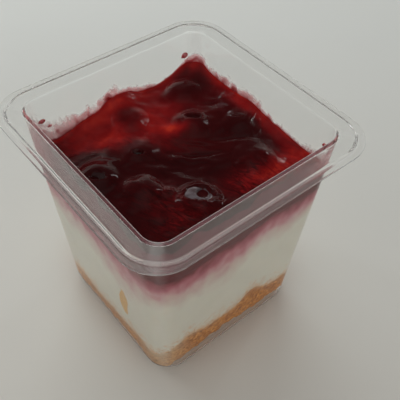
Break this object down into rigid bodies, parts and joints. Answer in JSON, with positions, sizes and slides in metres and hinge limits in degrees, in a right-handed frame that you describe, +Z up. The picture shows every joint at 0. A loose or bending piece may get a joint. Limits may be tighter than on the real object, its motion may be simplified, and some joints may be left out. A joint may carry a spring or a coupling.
{
  "type": "layered cherry cream dessert in a clear square cup",
  "caption": "Cherry cream dessert in layers, biscuit crumb, white cream and dark cherry compote with whole cherries, in an open clear square plastic cup with a flat flange.",
  "frame": {"origin": "on the table under the middle of the cup", "axes": "+Z up; the cup's flat sides face X and Y; the corner at -X -Y is the one nearest in the picture"},
  "size_m": [0.075, 0.075, 0.0712],
  "materials": {
    "clear_plastic": "clear, hard and glossy, thin",
    "biscuit_crumb": "dry golden brown biscuit crumb",
    "cream": "smooth cream, stained pink at the top",
    "cherry_gel": "wet, very glossy dark red gel",
    "cherry": "wet black-red cooked cherry"
  },
  "bodies": {
    "root": {"cup": "clear_plastic", "biscuit_base": "biscuit_crumb", "biscuit_streak": "biscuit_crumb", "cream": "cream", "cherry_compote": "cherry_gel", "cherry_1": "cherry", "cherry_2": "cherry", "cherry_3": "cherry", "cherry_4": "cherry", "cherry_5": "cherry", "cherry_6": "cherry", "cherry_7": "cherry", "cherry_8": "cherry", "cherry_9": "cherry"}
  },
  "joints": []
}
